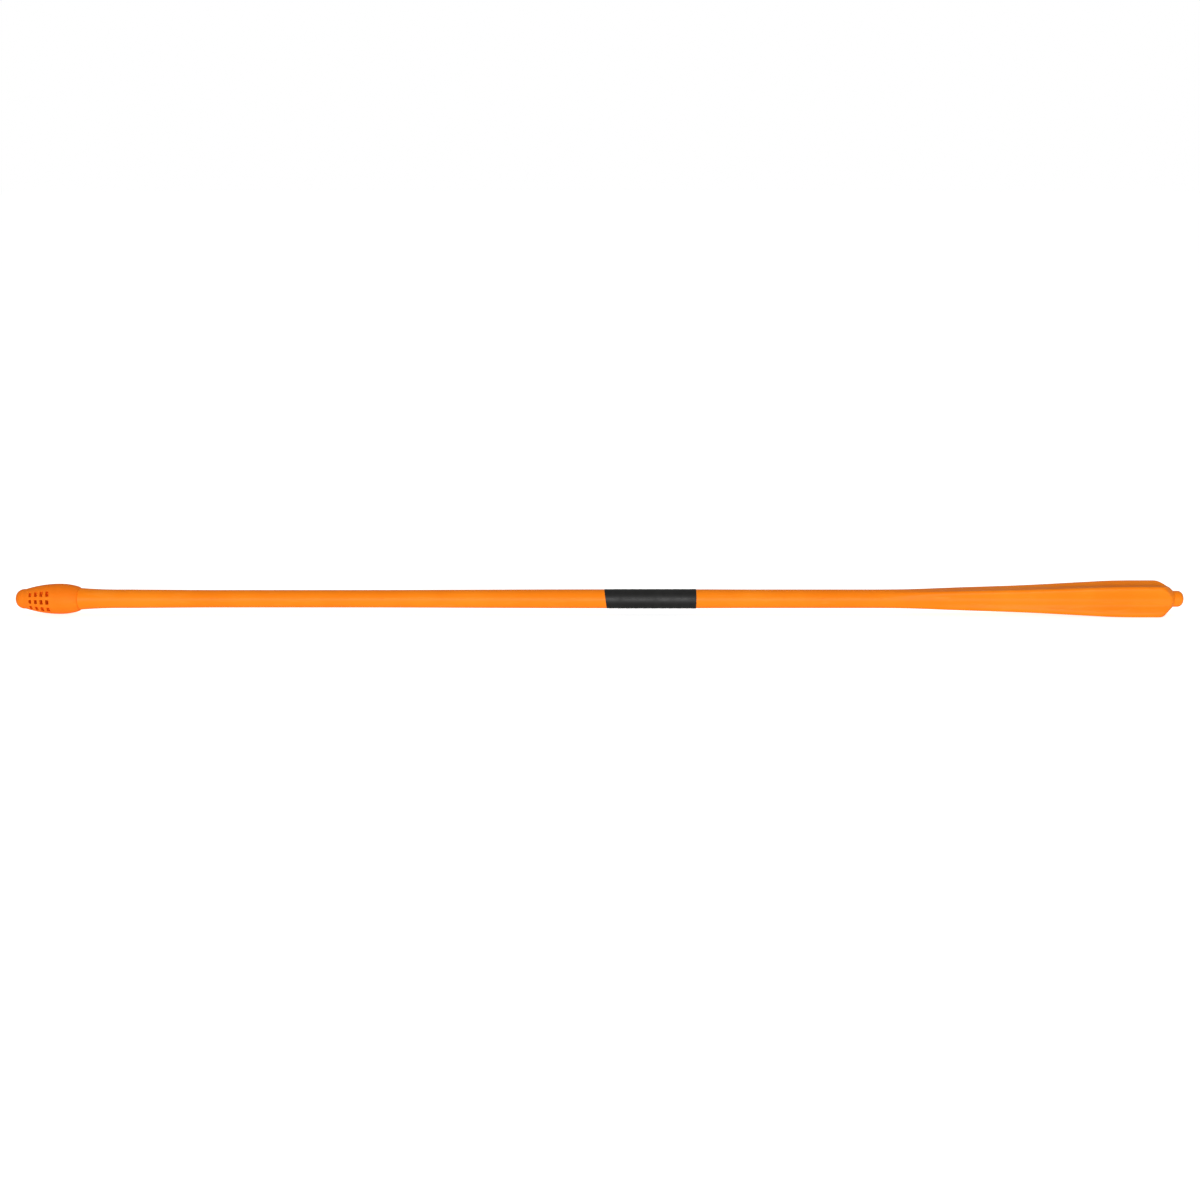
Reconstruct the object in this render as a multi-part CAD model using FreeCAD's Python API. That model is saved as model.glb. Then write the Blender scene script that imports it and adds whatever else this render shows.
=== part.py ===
"""Training javelin: a slender throwing stick with a soft perforated nose, a taped grip and a finned tail.

The stick lies along X with its nose at -X, resting on two of its four fins, and +Z is up. The origin is
under the middle of the stick, on the surface that it rests on. Stations are millimetres from the nose tip.

From nose to tail on the bench: a soft rubber nose bulb with blind holes, the nylon stem that it is moulded
over and that plugs into the front shaft, the moulded front shaft, the joining rod under the grip, the moulded
rear shaft, the grip tape, the hollow finned tail moulding and the knob that plugs it.
"""

import FreeCAD, Part
import math
import os

# Driving dimensions, in millimetres
LENGTH = 1100.0
SHAFT_RADIUS = 8.3  # at its slimmest, in the front shaft
SHAFT_BORE = 5.25  # radius of the bore through both shafts
GRIP_START = 555.0
GRIP_LENGTH = 86.0
GRIP_RADIUS = 8.95  # of the shaft under the tape
TAPE_THICKNESS = 0.3
BULB_RADIUS = 14.3
BULB_LENGTH = 60.0
FIN_COUNT = 4
KNOB_RADIUS = 7.6

# The nose bulb
BULB_WIDEST = 41.5  # station of its largest diameter
TIP_RADIUS = 9.3  # the blunt tip ahead of the holes
TIP_FLAT = 1.5  # radius of its flat front
FRONT_BEND = 107.0  # radius of the long curve from the tip to the widest station
REAR_BEND = 58.0  # radius of the shorter curve behind it
RIM_START = 56.8  # where the rear rim starts to round over
RIM_STEP = 0.2  # how far the rim's rear edge stands out from the shaft
RIM_BULGE = (0.5, 0.25)  # how far the rim's round stands off the straight line across it
WEB_FRONT = 41.0  # the web of rubber between the stem's head and the front shaft
WEB_REAR = 46.0
HOLE_FIRST = 16.1  # station of the first column of holes
HOLE_PITCH = 5.6
HOLE_COLUMNS = 4
HOLE_ROW_ANGLE = 32.5  # degrees from the middle row to the upper and lower rows
HOLE_LENGTH_SHARE = 0.223  # along the stick, as a share of the bulb's radius at that column
HOLE_HEIGHT_SHARE = 0.31
HOLE_FLOOR_SHARE = 0.42  # how far a hole's flat end stays from the mould's parting plane
HOLE_CORNER = 0.6

# The stem inside the bulb
STEM_RADIUS = 5.25
STEM_REAR = 92.0
HEAD_FRONT = 35.5
HEAD_RADIUS = 7.6
HEAD_NOSE_RADIUS = 5.6
HEAD_RIM = 3.0  # length of the head's widest stretch
STEM_CHAMFER = 1.0

# The front shaft's nose end, where the bulb's skirt sits on it
SPIGOT_RADIUS = 9.0
FLARE_START = 60.0
FLARE_RADIUS = 10.3
FLARE_END = 96.0
NECK_RADIUS = 8.8
SLIM_START = 190.0
SLIM_END = 310.0
JOINT_STATION = 598.0  # the two shafts meet here, under the tape

# The rod across the joint
JOINER_REACH = 60.0  # how far the joining rod runs into each shaft
JOINER_BORE = 3.5

# The rear shaft and the finned tail
REAR_RADIUS = 8.8
REAR_SLIM_START = 700.0
TAIL_SPIGOT = 34.0
TAIL_WALL = 2.8
TAIL_BORE = 5.6
FIN_SHARPNESS = 2.4  # a higher power gives thinner fins
FIN_CORNER = 1073.3  # where their rear corner starts to round over
CORNER_ROUND = 12.0
TAIL_END = 1090.5
# Sections of the tail: station, radius at a fin's tip, radius at the bottom of the flute between two fins
TAIL_SECTIONS = [
    (812, 8.8, 8.8),
    (835, 9.6, 8.95),
    (885, 12.0, 9.45),
    (950, 14.6, 10.6),
    (1010, 18.2, 11.7),
    (1032, 19.5, 11.95),
    (1048, 19.85, 12.0),
    (1064, 19.9, 12.0),
    (TAIL_END, 19.9, 12.0),
]
SECTION_POINTS = 72

# The knob
KNOB_STEM = 26.5
KNOB_ROUND = 5.0

TURN = 2 * math.pi
TAIL_START = TAIL_SECTIONS[0][0]
FIN_RADIUS, FLUTE_RADIUS = TAIL_SECTIONS[-1][1:]


def fin_section(radius, flute, angle):
    """Distance from the axis to the tail's surface, at an angle from a fin's tip."""
    lobe = ((1 + math.cos(FIN_COUNT * angle)) / 2) ** FIN_SHARPNESS
    return flute + (radius - flute) * lobe


def resting_height():
    """Height of the axis when the tail rests on two fins, each 45 degrees from straight down."""
    reach = 0
    for step in range(901):
        angle = math.radians(step / 10)
        surface = fin_section(FIN_RADIUS, FLUTE_RADIUS, angle - math.pi / FIN_COUNT)
        reach = max(reach, surface * math.cos(angle))
    return reach


AXIS_HEIGHT = resting_height()


def at(station, radius=0.0, angle=0.0):
    """The point at a station, a distance from the axis and an angle about it, measured from straight up."""
    across = radius * math.sin(angle)
    height = AXIS_HEIGHT + radius * math.cos(angle)
    return FreeCAD.Vector(station - LENGTH / 2, across, height)


def line(start, end):
    return Part.LineSegment(at(*start), at(*end)).toShape()


def arc(start, middle, end):
    return Part.Arc(at(*start), at(*middle), at(*end)).toShape()


def curve(points):
    """A smooth line that leaves and ends parallel to the axis."""
    spline = Part.BSplineCurve()
    along = FreeCAD.Vector(1, 0, 0)
    spline.interpolate(Points=[at(*p) for p in points], InitialTangent=along, FinalTangent=along)
    return spline.toShape()


def turned(edges):
    """The solid that a closed outline sweeps about the stick's axis."""
    face = Part.Face(Part.Wire(edges))
    return face.revolve(at(0), FreeCAD.Vector(1, 0, 0), 360)


def rod(start, end, radius):
    return Part.makeCylinder(radius, end - start, at(start), FreeCAD.Vector(1, 0, 0))


def tube(start, end, outer, inner):
    return rod(start, end, outer).cut(rod(start, end, inner))


def bulb_radius_at(station):
    """The bulb's outer radius behind its tip: two arcs that are level at its widest station."""
    bend = FRONT_BEND if station < BULB_WIDEST else REAR_BEND
    return BULB_RADIUS - bend + math.sqrt(bend**2 - (station - BULB_WIDEST) ** 2)


def on_bulb(station):
    return (station, bulb_radius_at(station))


def tip_end():
    """The station where the tip's short straight side runs into the bulb's long curve."""
    return BULB_WIDEST - math.sqrt(FRONT_BEND**2 - (TIP_RADIUS - BULB_RADIUS + FRONT_BEND) ** 2)


def bulb_skin():
    """Edges of the bulb's outer surface, from the tip to the rear edge of its rim."""
    top = on_bulb(BULB_WIDEST)
    kink = (tip_end(), TIP_RADIUS)
    tip_round = TIP_RADIUS - TIP_FLAT
    half = math.sqrt(0.5)
    tip_middle = (tip_round * (1 - half), TIP_FLAT + tip_round * half)
    rim_start = on_bulb(RIM_START)
    rim_end = (BULB_LENGTH, FLARE_RADIUS + RIM_STEP)
    rim_middle = [(a + b) / 2 + bulge for a, b, bulge in zip(rim_start, rim_end, RIM_BULGE)]
    return [
        line((0, 0), (0, TIP_FLAT)),
        arc((0, TIP_FLAT), tip_middle, (tip_round, TIP_RADIUS)),
        line((tip_round, TIP_RADIUS), kink),
        arc(kink, on_bulb((kink[0] + BULB_WIDEST) / 2), top),
        arc(top, on_bulb((BULB_WIDEST + RIM_START) / 2), rim_start),
        arc(rim_start, rim_middle, rim_end),
    ]


def hole_pins():
    """The mould's straight pins: each makes one blind hole in the bulb, from one side."""
    pins = []
    for column in range(HOLE_COLUMNS):
        station = HOLE_FIRST + column * HOLE_PITCH
        bulb = bulb_radius_at(station)
        length = bulb * HOLE_LENGTH_SHARE
        height = bulb * HOLE_HEIGHT_SHARE
        floor = bulb * HOLE_FLOOR_SHARE
        for row in (-1, 0, 1):
            corner = at(station - length / 2)
            corner.z += row * bulb * math.sin(math.radians(HOLE_ROW_ANGLE)) - height / 2
            for side_shift in (floor, -floor - BULB_RADIUS):
                pin = Part.makeBox(length, BULB_RADIUS, height, corner)
                pin.translate(FreeCAD.Vector(0, side_shift, 0))
                along = [e for e in pin.Edges if e.BoundBox.YLength > BULB_RADIUS / 2]
                pins.append(pin.makeFillet(HOLE_CORNER, along))
    return pins


def head_outline():
    """The stem's head, from the axis to the back of its shoulder: the bulb is moulded over it."""
    shoulder = (WEB_FRONT - HEAD_RIM, HEAD_RADIUS)
    head_back = (WEB_FRONT, HEAD_RADIUS)
    return [
        line((HEAD_FRONT, 0), (HEAD_FRONT, HEAD_NOSE_RADIUS)),
        line((HEAD_FRONT, HEAD_NOSE_RADIUS), shoulder),
        line(shoulder, head_back),
        line(head_back, (WEB_FRONT, STEM_RADIUS)),
    ]


def make_nose_bulb():
    """The turned bulb with the seats of the stem and the front shaft, less the holes."""
    edges = bulb_skin() + [
        line((BULB_LENGTH, FLARE_RADIUS + RIM_STEP), (BULB_LENGTH, SPIGOT_RADIUS)),
        line((BULB_LENGTH, SPIGOT_RADIUS), (WEB_REAR, SPIGOT_RADIUS)),
        line((WEB_REAR, SPIGOT_RADIUS), (WEB_REAR, STEM_RADIUS)),
        line((WEB_REAR, STEM_RADIUS), (WEB_FRONT, STEM_RADIUS)),
    ]
    edges += reversed(head_outline())
    edges.append(line((HEAD_FRONT, 0), (0, 0)))
    return turned(edges).cut(Part.Compound(hole_pins()))


def make_nose_stem():
    """The head holds the bulb, and the rest of the stem plugs into the front shaft."""
    edges = head_outline() + [
        line((WEB_FRONT, STEM_RADIUS), (STEM_REAR - STEM_CHAMFER, STEM_RADIUS)),
        line((STEM_REAR - STEM_CHAMFER, STEM_RADIUS), (STEM_REAR, STEM_RADIUS - STEM_CHAMFER)),
        line((STEM_REAR, STEM_RADIUS - STEM_CHAMFER), (STEM_REAR, 0)),
        line((STEM_REAR, 0), (HEAD_FRONT, 0)),
    ]
    return turned(edges)


def make_front_shaft():
    """Spigot for the bulb's skirt, a flare that carries its line on, then the slim shaft up to the joint."""
    half_flare = (FLARE_END - FLARE_START) / 2
    flare_middle = (FLARE_END - half_flare, NECK_RADIUS + (FLARE_RADIUS - NECK_RADIUS) / 4)
    edges = [
        line((WEB_REAR, SHAFT_BORE), (WEB_REAR, SPIGOT_RADIUS)),
        line((WEB_REAR, SPIGOT_RADIUS), (FLARE_START, SPIGOT_RADIUS)),
        line((FLARE_START, SPIGOT_RADIUS), (FLARE_START, FLARE_RADIUS)),
        arc((FLARE_START, FLARE_RADIUS), flare_middle, (FLARE_END, NECK_RADIUS)),
        curve([(FLARE_END, NECK_RADIUS), (SLIM_START, SHAFT_RADIUS)]),
        line((SLIM_START, SHAFT_RADIUS), (SLIM_END, SHAFT_RADIUS)),
        curve([(SLIM_END, SHAFT_RADIUS), (GRIP_START, GRIP_RADIUS)]),
        line((GRIP_START, GRIP_RADIUS), (JOINT_STATION, GRIP_RADIUS)),
        line((JOINT_STATION, GRIP_RADIUS), (JOINT_STATION, SHAFT_BORE)),
        line((JOINT_STATION, SHAFT_BORE), (WEB_REAR, SHAFT_BORE)),
    ]
    return turned(edges)


def make_rear_shaft():
    grip_end = GRIP_START + GRIP_LENGTH
    edges = [
        line((JOINT_STATION, SHAFT_BORE), (JOINT_STATION, GRIP_RADIUS)),
        line((JOINT_STATION, GRIP_RADIUS), (grip_end, GRIP_RADIUS)),
        curve([(grip_end, GRIP_RADIUS), (REAR_SLIM_START, REAR_RADIUS)]),
        line((REAR_SLIM_START, REAR_RADIUS), (TAIL_START, REAR_RADIUS)),
        line((TAIL_START, REAR_RADIUS), (TAIL_START, SHAFT_BORE)),
        line((TAIL_START, SHAFT_BORE), (JOINT_STATION, SHAFT_BORE)),
    ]
    return turned(edges)


def make_joining_rod():
    reach = JOINER_REACH
    return tube(JOINT_STATION - reach, JOINT_STATION + reach, SHAFT_BORE, JOINER_BORE)


def make_grip_tape():
    """The wound tape as one thin sleeve over both shafts."""
    return tube(GRIP_START, GRIP_START + GRIP_LENGTH, GRIP_RADIUS + TAPE_THICKNESS, GRIP_RADIUS)


def tail_wire(station, fin, flute):
    """A closed smooth section of the tail."""
    points = []
    for step in range(SECTION_POINTS):
        angle = TURN * step / SECTION_POINTS
        points.append(at(station, fin_section(fin, flute, angle - math.pi / FIN_COUNT), angle))
    spline = Part.BSplineCurve()
    spline.interpolate(Points=points, PeriodicFlag=True)
    return Part.Wire([spline.toShape()])


def tail_envelope():
    """The turned shape that rounds the fins' rear corners, then slopes at 45 degrees down to the knob."""
    outside = FIN_RADIUS + 2
    half_turn = math.radians(22.5)
    slope = math.radians(45)
    corner = (FIN_CORNER, FIN_RADIUS)
    middle = (
        FIN_CORNER + CORNER_ROUND * math.sin(half_turn),
        FIN_RADIUS - CORNER_ROUND * (1 - math.cos(half_turn)),
    )
    slope_top = (
        FIN_CORNER + CORNER_ROUND * math.sin(slope),
        FIN_RADIUS - CORNER_ROUND * (1 - math.cos(slope)),
    )
    slope_foot = (TAIL_END, slope_top[1] - (TAIL_END - slope_top[0]))
    edges = [
        line((TAIL_START, 0), (TAIL_START, outside)),
        line((TAIL_START, outside), (FIN_CORNER, outside)),
        line((FIN_CORNER, outside), corner),
        arc(corner, middle, slope_top),
        line(slope_top, slope_foot),
        line(slope_foot, (TAIL_END, 0)),
        line((TAIL_END, 0), (TAIL_START, 0)),
    ]
    return turned(edges)


def make_tail_fins():
    """The hollow four-fin body, its spigot in the rear shaft and the bore for the knob's stem."""
    body = Part.makeLoft([tail_wire(*section) for section in TAIL_SECTIONS], True, False)
    body = body.common(tail_envelope())
    body = body.fuse(rod(TAIL_START - TAIL_SPIGOT, TAIL_START + 3, SHAFT_BORE))
    inner_wires = [tail_wire(s, fin - TAIL_WALL, flute - TAIL_WALL) for s, fin, flute in TAIL_SECTIONS[1:-1]]
    hollow = Part.makeLoft(inner_wires, True, False)
    spigot_bore = rod(TAIL_START - TAIL_SPIGOT, TAIL_SECTIONS[1][0] + 1, JOINER_BORE)
    knob_bore = rod(TAIL_END - KNOB_STEM - 1, TAIL_END, TAIL_BORE)
    return body.cut(hollow).cut(spigot_bore).cut(knob_bore)


def make_tail_knob():
    half = math.sqrt(0.5)
    round_start = LENGTH - KNOB_ROUND
    flat = KNOB_RADIUS - KNOB_ROUND
    corner = (round_start + KNOB_ROUND * half, flat + KNOB_ROUND * half)
    edges = [
        line((TAIL_END - KNOB_STEM, 0), (TAIL_END - KNOB_STEM, TAIL_BORE)),
        line((TAIL_END - KNOB_STEM, TAIL_BORE), (TAIL_END, TAIL_BORE)),
        line((TAIL_END, TAIL_BORE), (TAIL_END, KNOB_RADIUS)),
        line((TAIL_END, KNOB_RADIUS), (round_start, KNOB_RADIUS)),
        arc((round_start, KNOB_RADIUS), corner, (LENGTH, flat)),
        line((LENGTH, flat), (LENGTH, 0)),
        line((LENGTH, 0), (TAIL_END - KNOB_STEM, 0)),
    ]
    return turned(edges)


NODES = {
    "nose_bulb": make_nose_bulb,
    "nose_stem": make_nose_stem,
    "front_shaft": make_front_shaft,
    "joining_rod": make_joining_rod,
    "grip_tape": make_grip_tape,
    "rear_shaft": make_rear_shaft,
    "tail_fins": make_tail_fins,
    "tail_knob": make_tail_knob,
}

os.makedirs("parts", exist_ok=True)
for name, make in NODES.items():
    shape = make()
    shape.exportStep(f"parts/{name}.step")
    print(f"{name}: valid {shape.isValid()}, {len(shape.Solids)} solid(s), {shape.Volume / 1000:.2f} cm3")
print(f"axis height {AXIS_HEIGHT:.3f}")
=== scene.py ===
"""Training javelin on a pale studio floor: the looks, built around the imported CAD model.

Shapes are worked out in millimetres, along and about the stick's axis, and placed in metres by point().
A station is the distance from the nose tip. An angle about the axis is counted from straight up towards +Y.
"""

import math

import bmesh
import bpy
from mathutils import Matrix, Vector, noise
from mathutils.geometry import delaunay_2d_cdt


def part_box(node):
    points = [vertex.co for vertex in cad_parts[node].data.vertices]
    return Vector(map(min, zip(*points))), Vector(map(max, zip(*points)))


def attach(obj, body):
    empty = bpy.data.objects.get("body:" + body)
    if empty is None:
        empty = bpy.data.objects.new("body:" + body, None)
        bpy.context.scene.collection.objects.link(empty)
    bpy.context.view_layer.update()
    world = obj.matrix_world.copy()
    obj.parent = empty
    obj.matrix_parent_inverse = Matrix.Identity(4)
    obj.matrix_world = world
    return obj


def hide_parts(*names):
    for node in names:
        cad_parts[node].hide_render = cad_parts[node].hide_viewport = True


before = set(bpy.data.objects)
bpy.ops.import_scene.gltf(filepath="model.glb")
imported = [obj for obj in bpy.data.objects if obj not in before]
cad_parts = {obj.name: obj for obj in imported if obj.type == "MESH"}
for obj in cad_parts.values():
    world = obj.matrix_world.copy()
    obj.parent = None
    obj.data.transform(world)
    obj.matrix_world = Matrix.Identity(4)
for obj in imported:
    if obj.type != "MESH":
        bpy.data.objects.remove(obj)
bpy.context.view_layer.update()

MM = 0.001
TURN = 2 * math.pi
CRISP_ANGLE = math.radians(50)
NOSE_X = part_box("nose_bulb")[0].x
AXIS_Z = sum(corner.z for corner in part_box("grip_tape")) / 2

# The nose bulb
BULB_RADIUS = 14.3
BULB_WIDEST = 41.5
BULB_LENGTH = 60.0
FRONT_BEND = 107.0  # radius of the long curve from the tip to the widest station
REAR_BEND = 58.0
TIP_RADIUS = 9.3
TIP_FLAT = 1.5  # radius of its flat front
KINK_EASE = 0.4  # the line where the tip meets the long curve is eased this far to each side
RIM_START = 56.8
RIM_STEP = 0.2  # the rim stands this far over the shaft's flare
WEB_FRONT = 41.0
WEB_REAR = 46.0
WEB_BORE = 5.25
SPIGOT_RADIUS = 9.0
HEAD_OUTLINE = [(41.0, 7.6), (38.0, 7.6), (35.5, 5.6), (35.5, 0.0)]  # the seat of the stem's head

# Its holes, as shares of the bulb's own radius at each column
HOLE_FIRST = 16.1
HOLE_PITCH = 5.6
HOLE_COLUMNS = 4
HOLE_ROW_ANGLE = math.radians(32.5)
HOLE_LENGTH_SHARE = 0.223
HOLE_HEIGHT_SHARE = 0.31
HOLE_FLOOR_SHARE = 0.42  # a hole's flat end stays this far from the mould's parting plane
HOLE_CORNER = 0.6
HOLE_LIP = 0.35
HOLE_MARGIN = 0.15  # flat skin kept round a lip
HOLE_FLOOR_ROUND = 0.4
BAND_START = 13.2  # the holes lie between these two stations
BAND_END = 36.0
HOLE_ROWS = (-1, 0, 1)

# The shafts
FLARE_START = 60.0
FLARE_RADIUS = 10.3
FLARE_END = 96.0
NECK_RADIUS = 8.8
SLIM_START = 190.0
SLIM_END = 310.0
SHAFT_RADIUS = 8.3
SHAFT_BORE = 5.25
JOINT_STATION = 598.0
JOINT_ROUND = 0.15
REAR_SLIM_START = 700.0
REAR_RADIUS = 8.8
SHAFT_SEAMS = (0.0, math.pi)  # where the mould's parting line runs, as angles about the axis
SEAM_FROM = 8.0  # it shows only on radii over this

# The wound tape
GRIP_START = 555.0
GRIP_LENGTH = 86.0
GRIP_RADIUS = 8.95
TAPE_LAYER = 0.1
TAPE_LEAD = 8.0  # how far one turn of tape moves along the stick
TAPE_SLANT = 1.2  # the first turn starts at an angle
TAPE_LAST_TURN = 4.2  # the last turn is square to the stick
TAPE_LAST_START = GRIP_START + GRIP_LENGTH - TAPE_LAST_TURN
TAPE_END = GRIP_START + GRIP_LENGTH
TAPE_WRINKLE = 0.025
TAPE_COLUMNS = (0.0, 0.015, 0.06, 0.18, 0.34, 0.5, 0.66, 0.82, 0.94, 0.985, 0.9995)  # shares of a turn
TAPE_LAST_PROFILE = [  # station and rise of the last turn's outside
    (TAPE_LAST_START + 0.05, 0.07),
    (TAPE_LAST_START + 0.12, 0.1),
    (TAPE_LAST_START + 0.4, 0.105),
    (TAPE_END - 1.2, 0.1),
    (TAPE_END - 0.4, 0.09),
    (TAPE_END - 0.15, 0.06),
    (TAPE_END - 0.03, -0.05),
    (TAPE_END, -0.2),
]

# The tail: station, radius at a fin's tip, radius at the bottom of the flute between two fins
TAIL_END = 1090.5
TAIL_SECTIONS = [
    (812, 8.8, 8.8),
    (835, 9.6, 8.95),
    (885, 12.0, 9.45),
    (950, 14.6, 10.6),
    (1010, 18.2, 11.7),
    (1032, 19.5, 11.95),
    (1048, 19.85, 12.0),
    (1064, 19.9, 12.0),
    (TAIL_END, 19.9, 12.0),
]
TAIL_START = TAIL_SECTIONS[0][0]
TAIL_SPIGOT = 34.0
TAIL_BORE = 5.6
SPIGOT_SLACK = 0.2  # the spigot is this much slimmer than the shaft's bore
FIN_RADIUS = TAIL_SECTIONS[-1][1]
FIN_COUNT = 4
FIN_SHARPNESS = 2.4
FIN_CORNER = 1073.3
CORNER_ROUND = 12.0
EDGE_BLEND = 1.6  # how softly the fins' flanks run into the rear slope
EDGE_BLEND_RISE = 0.8  # and how fast that grows down a flank
SLOPE_TURN = math.radians(45)  # how far a rear corner turns before the slope runs straight
TAIL_SEAMS = (math.radians(45), math.radians(225))

# The knob
LENGTH = 1100.0
KNOB_RADIUS = 7.6
KNOB_ROUND = 5.0
KNOB_STEM = 26.5

# The mould's parting line, a fine ridge along two opposite sides
SEAM_HEIGHT = 0.05
SEAM_WIDTH = 0.3
SEAM_OFFSETS = (-1.6, -1.0, -0.6, -0.3, 0.0, 0.3, 0.6, 1.0, 1.6)  # mesh lines over it, in widths

# The picture's view, in metres but for the shift
CAMERA_DISTANCE = 1.5
CAMERA_ELEVATION = math.radians(15)
FRAME_WIDTH = 1.1328  # width of the picture at the stick's axis
CAMERA_SHIFT = (0.5, -1.2)  # the picture's middle lies this far along the stick and over its axis, in mm

# How strongly the floor and the background glow
FLOOR_GLOW_SEEN = 0.75
FLOOR_GLOW_ON_STICK = 0.3
WORLD_GLOW_SEEN = 1.0
WORLD_GLOW_ON_STICK = 0.3
PANEL_DISTANCE = 2.6


def point(station, radius=0.0, angle=0.0):
    return Vector(
        (
            NOSE_X + station * MM,
            radius * math.sin(angle) * MM,
            AXIS_Z + radius * math.cos(angle) * MM,
        )
    )


def ease(share):
    """A smooth step from 0 to 1."""
    share = min(max(share, 0.0), 1.0)
    return share * share * (3 - 2 * share)


def soft_min(a, b, blend):
    """The smaller of two lengths, rounded off where they are nearly equal."""
    if blend <= 0:
        return min(a, b)
    near = max(blend - abs(a - b), 0.0) / blend
    return min(a, b) - near * near * blend / 4


def spaced(start, end, step):
    """Evenly spaced values from start to end, no further apart than step."""
    count = max(1, math.ceil((end - start) / step))
    return [start + (end - start) * i / count for i in range(count + 1)]


# Meshes


def even_angles(count, seams=(), radius=9.0):
    """Angles round the axis, with extra ones where a parting line's ridge needs them."""
    angles = {round(TURN * i / count, 6) for i in range(count)}
    for seam in seams:
        for offset in SEAM_OFFSETS:
            angles.add(round((seam + offset * SEAM_WIDTH / radius) % TURN, 6))
    return sorted(angles)


def seam_ridge(angle, radius, seams):
    """Height of the parting line's ridge at an angle."""
    height = 0.0
    for seam in seams:
        away = abs((angle - seam + math.pi) % TURN - math.pi) * radius / SEAM_WIDTH
        height += SEAM_HEIGHT * math.exp(-3 * away * away)
    return height


def add_rows(mesh, rows, closed=False):
    """Joins rows of points into a skin. A row is a loop round the axis, or one point on it."""
    made = [[mesh.verts.new(p) for p in row] for row in rows]
    pairs = list(zip(made, made[1:]))
    if closed:
        pairs.append((made[-1], made[0]))
    for a, b in pairs:
        count = max(len(a), len(b))
        for i in range(count):
            corners = [a[i % len(a)], a[(i + 1) % len(a)], b[(i + 1) % len(b)], b[i % len(b)]]
            mesh.faces.new(list(dict.fromkeys(corners)))
    return made


def finish_piece(name, mesh, material, nodes):
    """Turns a bmesh into a piece that stands for CAD nodes, smooth but for its sharp edges."""
    bmesh.ops.remove_doubles(mesh, verts=mesh.verts, dist=2e-6)
    bmesh.ops.dissolve_degenerate(mesh, edges=mesh.edges, dist=1e-6)
    bmesh.ops.recalc_face_normals(mesh, faces=mesh.faces)
    for face in mesh.faces:
        face.smooth = True
    for edge in mesh.edges:
        edge.smooth = edge.calc_face_angle(0.0) < CRISP_ANGLE
    data = bpy.data.meshes.new(name)
    mesh.to_mesh(data)
    mesh.free()
    data.materials.append(material)
    piece = bpy.data.objects.new(name, data)
    bpy.context.scene.collection.objects.link(piece)
    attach(piece, "root")
    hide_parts(*nodes)
    return piece


def rounded(corners, steps=5, support=0.15):
    """A closed outline of (station, radius, round) corners, each rounded off by its own radius."""
    outline = []
    for i, (station, radius, size) in enumerate(corners):
        here = Vector((station, radius))
        if not size:
            outline.append(tuple(here))
            continue
        before = (Vector(corners[i - 1][:2]) - here).normalized()
        after = (Vector(corners[(i + 1) % len(corners)][:2]) - here).normalized()
        half = before.angle(after) / 2
        cut = size / math.tan(half)
        centre = here + (before + after).normalized() * size / math.sin(half)
        start = here + before * cut - centre
        end = here + after * cut - centre
        sweep = start.angle(end)
        outline.append(tuple(here + before * (cut + support)))
        for step in range(steps + 1):
            share = step / steps
            arm = start * math.sin((1 - share) * sweep) + end * math.sin(share * sweep)
            outline.append(tuple(centre + arm / math.sin(sweep)))
        outline.append(tuple(here + after * (cut + support)))
    return outline


def turned_rows(outline, angles, seams=(), seam_from=0.0):
    """Rows of a turned shape. The parting line's ridge shows only on radii over seam_from."""
    rows = []
    for station, radius in outline:
        if radius < 1e-6:
            rows.append([point(station)])
            continue
        ridged = radius > seam_from
        row = []
        for angle in angles:
            ridge = seam_ridge(angle, radius, seams) if ridged else 0.0
            row.append(point(station, radius + ridge, angle))
        rows.append(row)
    return rows


# The nose bulb


def bulb_radius(station):
    """The outer radius behind the tip: two arcs that are level at the widest station."""
    bend = FRONT_BEND if station < BULB_WIDEST else REAR_BEND
    return BULB_RADIUS - bend + math.sqrt(bend**2 - (station - BULB_WIDEST) ** 2)


def rim_outline():
    """The rear rim: a round that leaves along the bulb's own line and turns in to the shaft."""
    back = RIM_START - BULB_WIDEST
    start = Vector((RIM_START, bulb_radius(RIM_START)))
    end = Vector((BULB_LENGTH, FLARE_RADIUS + RIM_STEP))
    turn = start + Vector((1, -back / math.sqrt(REAR_BEND**2 - back**2))) * (BULB_LENGTH - RIM_START)
    shares = [step / 10 for step in range(1, 11)]
    return [start * (1 - t) ** 2 + turn * 2 * t * (1 - t) + end * t**2 for t in shares]


def tip_outline():
    """Stations and radii of the blunt tip, from the axis to the band of holes."""
    size = TIP_RADIUS - TIP_FLAT
    kink = BULB_WIDEST - math.sqrt(FRONT_BEND**2 - (TIP_RADIUS - BULB_RADIUS + FRONT_BEND) ** 2)
    outline = [(0.0, 0.0), (0.0, TIP_FLAT / 2)]
    for step in range(25):
        angle = step / 24 * math.pi / 2
        outline.append((size * (1 - math.cos(angle)), TIP_FLAT + size * math.sin(angle)))
    outline.append(((size + kink) / 2, TIP_RADIUS))
    for station in spaced(kink - KINK_EASE, kink + KINK_EASE, 0.16):
        past = (station - kink + KINK_EASE) / (2 * KINK_EASE)
        rise = bulb_radius(kink + KINK_EASE) - TIP_RADIUS
        outline.append((station, TIP_RADIUS + rise * past**2))
    return outline + [(s, bulb_radius(s)) for s in spaced(kink + 0.9, BAND_START, 0.7)]


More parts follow.
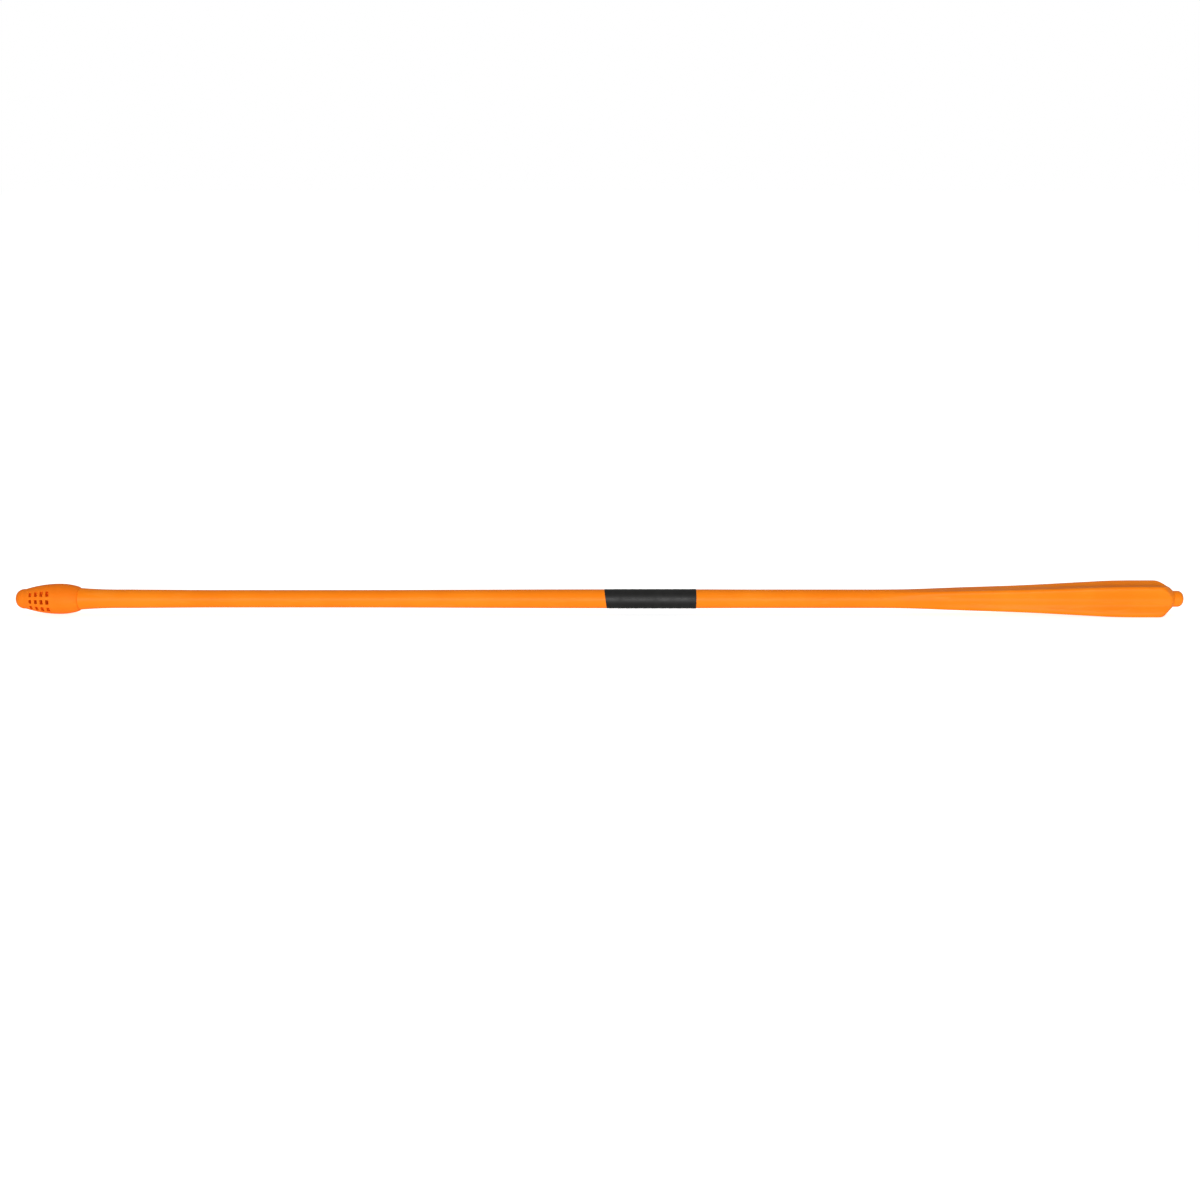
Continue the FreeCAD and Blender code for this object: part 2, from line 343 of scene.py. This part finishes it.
def hole_outline(column, row, spread):
    """A hole's rounded rectangle in the station and height plane, spread outwards, counter-clockwise."""
    centre = HOLE_FIRST + column * HOLE_PITCH
    bulb = bulb_radius(centre)
    height = bulb * math.sin(HOLE_ROW_ANGLE) * row
    corner = HOLE_CORNER + spread
    half_long = bulb * HOLE_LENGTH_SHARE / 2 + spread - corner
    half_high = bulb * HOLE_HEIGHT_SHARE / 2 + spread - corner
    outline = []
    for quarter, (side, level) in enumerate(((1, -1), (1, 1), (-1, 1), (-1, -1))):
        for step in range(6):
            angle = (quarter - 1) * math.pi / 2 + step / 5 * math.pi / 2
            across = side * half_long + corner * math.cos(angle)
            up = level * half_high + corner * math.sin(angle)
            outline.append((centre + across, height + up))
        # Points along the straight run to the next corner
        next_side, next_level = ((1, 1), (-1, 1), (-1, -1), (1, -1))[quarter]
        angle = quarter * math.pi / 2
        for share in (0.25, 0.5, 0.75):
            across = (side + (next_side - side) * share) * half_long + corner * math.cos(angle)
            up = (level + (next_level - level) * share) * half_high + corner * math.sin(angle)
            outline.append((centre + across, height + up))
    return outline


def lip_point(station, height, side, sink):
    """A point of a hole's wall, sunk from the bulb's skin along the hole."""
    depth = math.sqrt(bulb_radius(station) ** 2 - height**2) - sink
    return Vector((NOSE_X + station * MM, side * depth * MM, AXIS_Z + height * MM))


def deep_point(station, height, side, depth):
    """A point of a hole's wall, at a distance from the mould's parting plane."""
    return Vector((NOSE_X + station * MM, side * depth * MM, AXIS_Z + height * MM))


def add_band(mesh, side, angles):
    """One side of the bulb's skin between two rings, meshed with the holes left open."""
    half = [a for a in angles if a <= math.pi + 1e-6]
    stations = spaced(BAND_START, BAND_END, 0.6)
    rings = []
    for column in range(HOLE_COLUMNS):
        for row in HOLE_ROWS:
            ring = hole_outline(column, row, HOLE_LIP + HOLE_MARGIN)
            rings.append([Vector((s, math.acos(h / bulb_radius(s)) * BULB_RADIUS)) for s, h in ring])
    corners = []
    for s in stations:
        for a in half:
            spot = Vector((s, a * BULB_RADIUS))
            on_edge = s in (stations[0], stations[-1]) or a in (half[0], half[-1])
            if on_edge or all((spot - p).length > 0.3 for ring in rings for p in ring):
                corners.append(spot)
    faces = []
    for ring in rings:
        # Counted from straight up, the angle falls as the height rises, so the ring is turned round
        faces.append(list(range(len(corners), len(corners) + len(ring)))[::-1])
        corners += ring
    flat, _, triangles, _, _, inside = delaunay_2d_cdt(corners, [], faces, 0, 1e-7)
    made = [mesh.verts.new(point(s, bulb_radius(s), side * a / BULB_RADIUS)) for s, a in flat]
    for triangle, holes in zip(triangles, inside):
        if not holes:
            mesh.faces.new([made[i] for i in triangle])


def add_hole(mesh, column, row, side):
    """One blind hole: its rounded lip, its wall and its flat end."""
    loops = []
    quarter = [math.radians(a) for a in (0, 22.5, 45, 67.5, 90)]
    lip = [(HOLE_LIP + HOLE_MARGIN, 0.0)]
    lip += [(HOLE_LIP * (1 - math.sin(a)), HOLE_LIP * (1 - math.cos(a))) for a in quarter]
    for spread, sink in lip + [(0.0, HOLE_LIP + 0.3)]:
        loops.append([lip_point(s, h, side, sink) for s, h in hole_outline(column, row, spread)])
    floor = bulb_radius(HOLE_FIRST + column * HOLE_PITCH) * HOLE_FLOOR_SHARE
    size = HOLE_FLOOR_ROUND
    end = [(0.0, size + 0.2)] + [(size * (math.cos(a) - 1), size * (1 - math.sin(a))) for a in quarter]
    for spread, rise in end + [(-size - 0.1, 0.0)]:
        loops.append([deep_point(s, h, side, floor + rise) for s, h in hole_outline(column, row, spread)])
    rows = add_rows(mesh, loops)
    mesh.faces.new(rows[-1])


def make_nose_bulb(material):
    """The tip, a band with holes on each side, the rear and the seat of the stem's head."""
    angles = even_angles(128)
    mesh = bmesh.new()
    add_rows(mesh, turned_rows(tip_outline(), angles))
    rear = [(s, bulb_radius(s), 0) for s in spaced(BAND_END, RIM_START, 0.8)]
    rim = [(station, radius, 0) for station, radius in rim_outline()]
    rim += [
        (BULB_LENGTH, SPIGOT_RADIUS, 0),
        (WEB_REAR, SPIGOT_RADIUS, 0),
        (WEB_REAR, WEB_BORE, 0),
        (WEB_FRONT, WEB_BORE, 0),
    ]
    seat = [(station, radius, 0) for station, radius in HEAD_OUTLINE]
    add_rows(mesh, turned_rows(rounded(rear + rim + seat), angles))
    for side in (-1, 1):
        add_band(mesh, side, angles)
        for column in range(HOLE_COLUMNS):
            for row in HOLE_ROWS:
                add_hole(mesh, column, row, side)
    return finish_piece("nose_bulb_skin", mesh, material, ["nose_bulb"])


# The shafts


def front_shaft_radius(station):
    """The flare's arc, then a slim stretch that swells to the grip."""
    if station < FLARE_END:
        rise = FLARE_RADIUS - NECK_RADIUS
        run = FLARE_END - FLARE_START
        bend = (run**2 + rise**2) / (2 * rise)
        return NECK_RADIUS + bend - math.sqrt(bend**2 - (FLARE_END - station) ** 2)
    past_flare = (station - FLARE_END) / (SLIM_START - FLARE_END)
    past_slim = (station - SLIM_END) / (GRIP_START - SLIM_END)
    slim = NECK_RADIUS + (SHAFT_RADIUS - NECK_RADIUS) * ease(past_flare)
    return slim + (GRIP_RADIUS - SHAFT_RADIUS) * ease(past_slim)


def rear_shaft_radius(station):
    past_grip = (station - TAPE_END) / (REAR_SLIM_START - TAPE_END)
    return GRIP_RADIUS + (REAR_RADIUS - GRIP_RADIUS) * ease(past_grip)


def finish_shaft(node, corners, material):
    """A shaft from its closed outline, with the parting lines along it."""
    angles = even_angles(96, SHAFT_SEAMS)
    mesh = bmesh.new()
    rows = turned_rows(rounded(corners), angles, SHAFT_SEAMS, seam_from=SEAM_FROM)
    add_rows(mesh, rows, closed=True)
    return finish_piece(node + "_skin", mesh, material, [node])


def make_front_shaft(material):
    """From the bulb's seat to the joint under the tape."""
    outer = [(s, front_shaft_radius(s), 0) for s in spaced(FLARE_START + 0.5, JOINT_STATION - 0.5, 3.0)]
    corners = [
        (WEB_REAR, SHAFT_BORE, 0.2),
        (WEB_REAR, SPIGOT_RADIUS, 0.4),
        (FLARE_START, SPIGOT_RADIUS, 0),
        (FLARE_START, FLARE_RADIUS, 0.1),
    ]
    corners += outer
    corners += [(JOINT_STATION, GRIP_RADIUS, JOINT_ROUND), (JOINT_STATION, SHAFT_BORE, JOINT_ROUND)]
    return finish_shaft("front_shaft", corners, material)


def make_rear_shaft(material):
    """From the joint under the tape to the tail."""
    outer = [(s, rear_shaft_radius(s), 0) for s in spaced(JOINT_STATION + 0.5, TAIL_START - 0.6, 3.0)]
    corners = [(JOINT_STATION, SHAFT_BORE, JOINT_ROUND), (JOINT_STATION, GRIP_RADIUS, JOINT_ROUND)]
    corners += outer
    corners += [(TAIL_START, REAR_RADIUS, 0.12), (TAIL_START, SHAFT_BORE, 0.12)]
    return finish_shaft("rear_shaft", corners, material)


# The wound tape


def tape_front(angle):
    """Where the tape's slanted front edge lies at an angle."""
    return GRIP_START + TAPE_SLANT * (0.7 - math.cos(angle))


def tape_height(station, angle):
    """How far the wound tape's outside stands off the shaft."""
    along = (station - GRIP_START) / TAPE_LEAD - angle / TURN
    share = along - math.floor(along)
    layers = 1 + ease((station - tape_front(angle)) / (2 * TAPE_LEAD))
    wrinkle = noise.noise(Vector((station * 0.35, math.cos(angle) * 2.2, math.sin(angle) * 2.2)))
    return TAPE_LAYER * (layers + 1 - ease(share)) + TAPE_WRINKLE * wrinkle


def tape_point(station, angle):
    return point(station, GRIP_RADIUS + tape_height(station, angle), angle)


def tape_outside(column, angle):
    """A point of the wound outside: column counts turns of tape, and the ends are cut off."""
    station = GRIP_START + TAPE_LEAD * (column + angle / TURN)
    return tape_point(min(max(station, tape_front(angle)), TAPE_LAST_START), angle)


def make_grip_tape(material):
    """A sleeve whose outside steps up at each turn's edge, along a helix, and ends in one square turn."""
    mesh = bmesh.new()
    around = 144
    angles = [TURN * i / around for i in range(around)]
    turns = range(-2, math.ceil(GRIP_LENGTH / TAPE_LEAD) + 2)
    columns = [turn + share for turn in turns for share in TAPE_COLUMNS]
    grid = [[mesh.verts.new(tape_outside(c, a)) for a in angles] for c in columns]
    per_turn = len(TAPE_COLUMNS)
    for c in range(len(columns) - 1):
        for i in range(around):
            # Past the last angle the helix goes on into the next turn
            a, b = grid[c][i], grid[c + 1][i]
            if i + 1 < around:
                d, e = grid[c][i + 1], grid[c + 1][i + 1]
            elif c + 1 + per_turn < len(columns):
                d, e = grid[c + per_turn][0], grid[c + 1 + per_turn][0]
            else:
                d, e = grid[-1][0], grid[-1][0]
            if (a.co - b.co).length > 1e-9 or (d.co - e.co).length > 1e-9:
                corners = list(dict.fromkeys((a, b, e, d)))
                if len(corners) > 2:
                    mesh.faces.new(corners)
    # The square last turn, the cut ends and the inside
    rows = [[tape_point(TAPE_LAST_START, a) for a in angles]]
    for station, rise in TAPE_LAST_PROFILE:
        radius = GRIP_RADIUS + 2.5 * TAPE_LAYER + rise
        rows.append([point(station, radius, a) for a in angles])
    rows.append([point(TAPE_END, GRIP_RADIUS, a) for a in angles])
    rows.append([point(tape_front(a), GRIP_RADIUS, a) for a in angles])
    rows.append([tape_point(tape_front(a), a) for a in angles])
    add_rows(mesh, rows)
    return finish_piece("grip_tape_wound", mesh, material, ["grip_tape"])


# The finned tail


def tail_sizes(station):
    """Radius at a fin's tip and at a flute's bottom: a smooth line through the tail's sections."""
    last = len(TAIL_SECTIONS) - 2
    i = min(max(sum(s <= station for s, _, _ in TAIL_SECTIONS) - 1, 0), last)
    start, end = TAIL_SECTIONS[i], TAIL_SECTIONS[i + 1]
    before = TAIL_SECTIONS[max(i - 1, 0)]
    after = TAIL_SECTIONS[min(i + 2, len(TAIL_SECTIONS) - 1)]
    run = end[0] - start[0]
    share = (station - start[0]) / run
    sizes = []
    for k in (1, 2):
        leave = (end[k] - before[k]) / (end[0] - before[0]) * run
        arrive = (after[k] - start[k]) / (after[0] - start[0]) * run
        sizes.append(
            start[k] * (1 + share * share * (2 * share - 3))
            + end[k] * share * share * (3 - 2 * share)
            + leave * share * (1 - share) ** 2
            - arrive * share * share * (1 - share)
        )
    return sizes


def rear_slope(station):
    """Radius of the turned shape that rounds the fins' rear corners and slopes down to the knob."""
    past = station - FIN_CORNER
    turn_end = CORNER_ROUND * math.sin(SLOPE_TURN)
    if past < turn_end:
        return FIN_RADIUS - CORNER_ROUND + math.sqrt(CORNER_ROUND**2 - past**2)
    return FIN_RADIUS - CORNER_ROUND * (1 - math.cos(SLOPE_TURN)) - (past - turn_end)


def tail_radius(station, angle):
    """The finned section's radius, cut down by the rear slope behind the fins' corners."""
    fin, flute = tail_sizes(station)
    from_tip = angle - math.pi / FIN_COUNT
    lobe = ((1 + math.cos(FIN_COUNT * from_tip)) / 2) ** FIN_SHARPNESS
    section = flute + (fin - flute) * lobe
    if station <= FIN_CORNER:
        return section
    # The slope leaves a fin's tip without an edge, so the blend grows from nothing there
    blend = min(EDGE_BLEND, EDGE_BLEND_RISE * (FIN_RADIUS - section))
    return soft_min(section, rear_slope(station), blend)


def make_tail_fins(material):
    """The spigot, the finned outside and the bore that takes the knob's stem."""
    angles = even_angles(240, TAIL_SEAMS, FIN_RADIUS)
    mesh = bmesh.new()
    rows = turned_rows([(TAIL_START - TAIL_SPIGOT, 0.0)], angles)
    rows += turned_rows(
        [
            (TAIL_START - TAIL_SPIGOT, SHAFT_BORE - SPIGOT_SLACK),
            (TAIL_START, SHAFT_BORE - SPIGOT_SLACK),
            (TAIL_START, REAR_RADIUS - 0.3),
            (TAIL_START, REAR_RADIUS - 0.12),
            (TAIL_START + 0.04, REAR_RADIUS - 0.04),
        ],
        angles,
    )
    stations = [TAIL_START + 0.12, TAIL_START + 0.3]
    stations += spaced(TAIL_START + 2, FIN_CORNER - 6, 2.5)
    stations += spaced(FIN_CORNER - 5.5, TAIL_END - 0.5, 0.4)
    for station in stations:
        row = []
        for angle in angles:
            radius = tail_radius(station, angle)
            ridge = seam_ridge(angle, radius, TAIL_SEAMS) * ease((station - TAIL_START) / 20)
            row.append(point(station, radius + ridge, angle))
        rows.append(row)
    foot = rear_slope(TAIL_END)
    rows += turned_rows(
        [
            (TAIL_END - 0.1, foot),
            (TAIL_END, foot - 0.15),
            (TAIL_END, foot - 0.4),
            (TAIL_END, TAIL_BORE),
            (TAIL_END - KNOB_STEM, TAIL_BORE),
            (TAIL_END - KNOB_STEM, 0.0),
        ],
        angles,
    )
    add_rows(mesh, rows)
    return finish_piece("tail_fins_skin", mesh, material, ["tail_fins"])


def make_tail_knob(material):
    """The knob and its stem, with the small sunk gate mark that moulding leaves at its end."""
    corners = [
        (TAIL_END - KNOB_STEM, TAIL_BORE - 0.1, 0.4),
        (TAIL_END, TAIL_BORE - 0.1, 0),
        (TAIL_END, KNOB_RADIUS, 0.1),
        (LENGTH, KNOB_RADIUS, KNOB_ROUND),
        (LENGTH, 2.0, 0.15),
        (LENGTH - 0.4, 1.8, 0.15),
        (LENGTH - 0.4, 0.9, 0.1),
        (LENGTH - 0.15, 0.7, 0.1),
    ]
    outline = rounded(corners, steps=10)
    outline = [(TAIL_END - KNOB_STEM, 0.0)] + outline + [(LENGTH - 0.15, 0.0)]
    mesh = bmesh.new()
    add_rows(mesh, turned_rows(outline, even_angles(96)))
    return finish_piece("tail_knob_skin", mesh, material, ["tail_knob"])


# Materials


class Shader:
    """A material's node tree around one Principled shader."""

    def __init__(self, name):
        self.material = bpy.data.materials.new(name)
        self.material.use_nodes = True
        self.tree = self.material.node_tree
        self.surface = self.tree.nodes["Principled BSDF"]
        self.place = self.add("ShaderNodeTexCoord").outputs["Object"]

    def add(self, kind, settings=None, **inputs):
        node = self.tree.nodes.new(kind)
        for key, value in (settings or {}).items():
            setattr(node, key, value)
        for key, value in inputs.items():
            self.feed(node.inputs[key.replace("_", " ")], value)
        return node

    def feed(self, socket, value):
        if isinstance(value, bpy.types.NodeSocket):
            self.tree.links.new(value, socket)
        else:
            socket.default_value = value

    def noise(self, scale, detail=3.0, stretch=(1, 1, 1), roughness=0.5):
        """Noise over the object, from 0 to 1, with its grain stretched along the axes."""
        mapping = self.add("ShaderNodeMapping", Vector=self.place, Scale=stretch)
        node = self.add(
            "ShaderNodeTexNoise",
            Vector=mapping.outputs["Vector"],
            Scale=scale,
            Detail=detail,
            Roughness=roughness,
        )
        return node.outputs["Fac"]

    def spread(self, value, low, high, to_low=0.0, to_high=1.0):
        """Maps a value between two levels to another range, held at its ends."""
        node = self.add("ShaderNodeMapRange", Value=value)
        for key, level in (("From Min", low), ("From Max", high), ("To Min", to_low), ("To Max", to_high)):
            node.inputs[key].default_value = level
        return node.outputs["Result"]

    def mix(self, share, a, b):
        node = self.add("ShaderNodeMix", {"data_type": "RGBA"})
        self.feed(node.inputs[0], share)
        self.feed(node.inputs[6], a)
        self.feed(node.inputs[7], b)
        return node.outputs[2]

    def maths(self, operation, a, b=0.0):
        node = self.add("ShaderNodeMath", {"operation": operation})
        self.feed(node.inputs[0], a)
        self.feed(node.inputs[1], b)
        return node.outputs[0]

    def bump(self, height, distance, normal=None):
        node = self.add("ShaderNodeBump", Height=height, Distance=distance)
        if normal is not None:
            self.feed(node.inputs["Normal"], normal)
        return node.outputs["Normal"]


def colour(red, green, blue):
    return (red, green, blue, 1.0)


def moulded_plastic():
    """Satin orange polyethylene: a faint waxy mottle, fine orange peel and light scuffs along the stick."""
    shader = Shader("moulded_orange_plastic")
    surface = shader.surface
    mottle = shader.spread(shader.noise(22, 4), 0.3, 0.7)
    base = shader.mix(mottle, colour(0.93, 0.210, 0.004), colour(0.965, 0.243, 0.007))
    scuffs = shader.spread(shader.noise(260, 5, stretch=(0.12, 1, 1), roughness=0.65), 0.56, 0.74)
    base = shader.mix(shader.maths("MULTIPLY", scuffs, 0.3), base, colour(0.96, 0.34, 0.05))
    shader.feed(surface.inputs["Base Color"], base)
    rough = shader.spread(shader.noise(60, 3), 0.25, 0.75, 0.36, 0.46)
    rough = shader.maths("ADD", rough, shader.maths("MULTIPLY", scuffs, 0.14))
    shader.feed(surface.inputs["Roughness"], rough)
    peel = shader.bump(shader.noise(900, 2), 0.00006)
    grain = shader.bump(shader.noise(3200, 2), 0.000012, peel)
    shader.feed(surface.inputs["Normal"], shader.bump(scuffs, -0.00001, grain))
    surface.inputs["Specular IOR Level"].default_value = 0.13
    return shader.material


def nose_rubber():
    """Soft orange rubber, duller and a little redder than the shaft, with a fine moulded grain."""
    shader = Shader("soft_nose_rubber")
    surface = shader.surface
    mottle = shader.spread(shader.noise(45, 4), 0.3, 0.7)
    base = shader.mix(mottle, colour(0.91, 0.184, 0.005), colour(0.945, 0.216, 0.008))
    bloom = shader.spread(shader.noise(420, 4, roughness=0.7), 0.52, 0.75)
    base = shader.mix(shader.maths("MULTIPLY", bloom, 0.12), base, colour(0.95, 0.30, 0.05))
    shader.feed(surface.inputs["Base Color"], base)
    shader.feed(surface.inputs["Roughness"], shader.spread(shader.noise(140, 3), 0.25, 0.75, 0.5, 0.62))
    grain = shader.bump(shader.noise(1800, 3), 0.00005)
    shader.feed(surface.inputs["Normal"], shader.bump(shader.noise(120, 2), 0.00012, grain))
    surface.inputs["Specular IOR Level"].default_value = 0.1
    return shader.material


def grip_vinyl():
    """Black stretch tape: charcoal, a little glossy, with stretch lines round the stick and worn spots."""
    shader = Shader("black_grip_tape")
    surface = shader.surface
    worn = shader.spread(shader.noise(150, 5, stretch=(1, 0.5, 0.5), roughness=0.6), 0.45, 0.75)
    base = shader.mix(worn, colour(0.005, 0.0048, 0.0045), colour(0.010, 0.0096, 0.009))
    shader.feed(surface.inputs["Base Color"], base)
    shader.feed(surface.inputs["Roughness"], shader.spread(shader.noise(90, 4), 0.25, 0.75, 0.48, 0.64))
    lines = shader.bump(shader.noise(1500, 3, stretch=(1, 0.16, 0.16)), 0.00005)
    shader.feed(surface.inputs["Normal"], shader.bump(shader.noise(4200, 2), 0.00002, lines))
    return shader.material


def hidden_plastic():
    """Undyed plastic for the stem and the rod inside."""
    shader = Shader("natural_nylon")
    surface = shader.surface
    shader.feed(
        surface.inputs["Base Color"],
        shader.mix(shader.noise(90, 3), colour(0.56, 0.54, 0.47), colour(0.66, 0.64, 0.58)),
    )
    shader.feed(surface.inputs["Roughness"], shader.spread(shader.noise(200, 3), 0.2, 0.8, 0.45, 0.6))
    shader.feed(surface.inputs["Normal"], shader.bump(shader.noise(1600, 2), 0.00003))
    return shader.material


def dress_node(node, material):
    """Gives a CAD node that stays its finished material."""
    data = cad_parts[node].data
    data.materials.clear()
    data.materials.append(material)


# The studio


def make_camera():
    """Looks at the stick's side from a little above."""
    data = bpy.data.cameras.new("camera")
    data.sensor_width = 36.0
    data.lens = data.sensor_width * CAMERA_DISTANCE / FRAME_WIDTH
    camera = bpy.data.objects.new("camera", data)
    target = Vector((CAMERA_SHIFT[0] * MM, 0.0, AXIS_Z + CAMERA_SHIFT[1] * MM))
    away = Vector((0.0, -math.cos(CAMERA_ELEVATION), math.sin(CAMERA_ELEVATION)))
    camera.location = target + away * CAMERA_DISTANCE
    camera.rotation_euler = (target - camera.location).to_track_quat("-Z", "Y").to_euler()
    bpy.context.scene.collection.objects.link(camera)
    bpy.context.scene.camera = camera


def make_panel(name, azimuth, elevation, size, power, shines=True):
    """A soft light panel that faces the stick. Azimuth 0 is the camera's side."""
    data = bpy.data.lights.new(name, "AREA")
    data.shape = "RECTANGLE"
    data.size, data.size_y = size
    data.energy = power
    panel = bpy.data.objects.new(name, data)
    turn, rise = math.radians(azimuth), math.radians(elevation)
    away = Vector((math.sin(turn) * math.cos(rise), -math.cos(turn) * math.cos(rise), math.sin(rise)))
    panel.location = Vector((0.0, 0.0, AXIS_Z)) + away * PANEL_DISTANCE
    panel.rotation_euler = (-away).to_track_quat("-Z", "Y").to_euler()
    panel.visible_glossy = shines
    bpy.context.scene.collection.objects.link(panel)


def make_floor():
    """A pale floor. It glows like a lit product table, and lights the stick less than it shows."""
    mesh = bmesh.new()
    bmesh.ops.create_circle(mesh, cap_ends=True, segments=96, radius=40.0)
    data = bpy.data.meshes.new("floor")
    mesh.to_mesh(data)
    mesh.free()
    material = bpy.data.materials.new("lit_table")
    material.use_nodes = True
    tree = material.node_tree
    surface = tree.nodes["Principled BSDF"]
    surface.inputs["Base Color"].default_value = colour(0.85, 0.85, 0.85)
    surface.inputs["Roughness"].default_value = 0.9
    surface.inputs["Specular IOR Level"].default_value = 0.1
    surface.inputs["Emission Color"].default_value = colour(1.0, 1.0, 1.0)
    ray = tree.nodes.new("ShaderNodeLightPath")
    glow = tree.nodes.new("ShaderNodeMapRange")
    glow.inputs["To Min"].default_value = FLOOR_GLOW_ON_STICK
    glow.inputs["To Max"].default_value = FLOOR_GLOW_SEEN
    tree.links.new(ray.outputs["Is Camera Ray"], glow.inputs["Value"])
    tree.links.new(glow.outputs["Result"], surface.inputs["Emission Strength"])
    data.materials.append(material)
    floor = bpy.data.objects.new("floor", data)
    bpy.context.scene.collection.objects.link(floor)
    floor.visible_glossy = False


def make_world():
    """A white background, dimmer as a light than it looks, so that the panels shape the stick."""
    world = bpy.data.worlds.new("studio")
    bpy.context.scene.world = world
    world.use_nodes = True
    tree = world.node_tree
    tree.nodes.clear()
    seen = tree.nodes.new("ShaderNodeBackground")
    seen.inputs["Color"].default_value = colour(1.0, 1.0, 1.0)
    seen.inputs["Strength"].default_value = WORLD_GLOW_SEEN
    light = tree.nodes.new("ShaderNodeBackground")
    light.inputs["Color"].default_value = colour(1.0, 1.0, 1.0)
    light.inputs["Strength"].default_value = WORLD_GLOW_ON_STICK
    ray = tree.nodes.new("ShaderNodeLightPath")
    mix = tree.nodes.new("ShaderNodeMixShader")
    out = tree.nodes.new("ShaderNodeOutputWorld")
    tree.links.new(ray.outputs["Is Camera Ray"], mix.inputs["Fac"])
    tree.links.new(light.outputs["Background"], mix.inputs[1])
    tree.links.new(seen.outputs["Background"], mix.inputs[2])
    tree.links.new(mix.outputs["Shader"], out.inputs["Surface"])


make_camera()
make_world()
make_floor()
make_panel("key", 0, 8, (3.0, 0.7), 57)
make_panel("top_fill", 180, 62, (3.0, 1.0), 20, shines=False)
make_panel("rear_fill", 180, 4, (3.0, 0.7), 26, shines=False)
bpy.context.scene.view_settings.view_transform = "Standard"

orange = moulded_plastic()
rubber = nose_rubber()
nylon = hidden_plastic()
make_nose_bulb(rubber)
make_front_shaft(orange)
make_rear_shaft(orange)
make_grip_tape(grip_vinyl())
make_tail_fins(orange)
make_tail_knob(orange)
dress_node("nose_stem", nylon)
dress_node("joining_rod", nylon)
